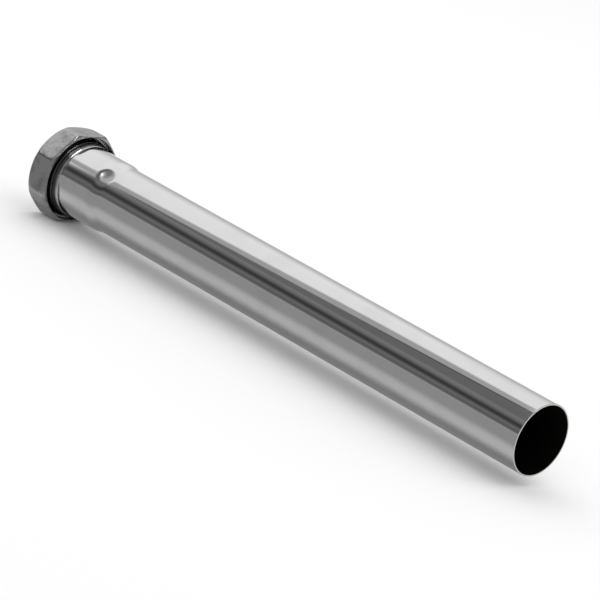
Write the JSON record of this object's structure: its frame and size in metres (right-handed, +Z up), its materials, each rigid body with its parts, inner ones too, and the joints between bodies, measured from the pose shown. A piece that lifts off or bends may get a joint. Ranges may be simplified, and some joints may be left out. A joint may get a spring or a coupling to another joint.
{
  "type": "drain extension tube",
  "caption": "Chrome slip joint drain extension: a straight thin-walled pipe whose belled, threaded end takes another pipe, sealed by a washer under an octagon slip nut.",
  "frame": {"origin": "centre of the socket's mouth, on the tube's axis", "axes": "+X along the tube to its plain end, +Z up, the lowest flat of the slip nut facing -Z"},
  "size_m": [0.3015, 0.0412, 0.0412],
  "materials": {
    "tube_chrome": "bright chrome plate on drawn brass, bare and dull inside the bore",
    "nut_chrome": "bright chrome plate over a slightly wavy cast and turned nut",
    "washer_rubber": "moulded black rubber, satin"
  },
  "bodies": {
    "tube": {"extension_tube": "tube_chrome"},
    "washer": {"slip_washer": "washer_rubber"},
    "nut": {"slip_nut": "nut_chrome"}
  },
  "joints": [
    {"name": "washer_travel", "type": "slide", "parent": "tube", "child": "washer", "axis": [-1, 0, 0], "range_m": [0, 0.0051]},
    {"name": "nut_turn", "type": "hinge", "parent": "washer", "child": "nut", "pos_m": [-0.0145, 0, 0], "axis": [-1, 0, 0], "range_deg": [0, 1440]}
  ],
  "couplings": [
    {"joint": "washer_travel", "follows": "nut_turn", "m_per_rad": 0.00020213}
  ]
}
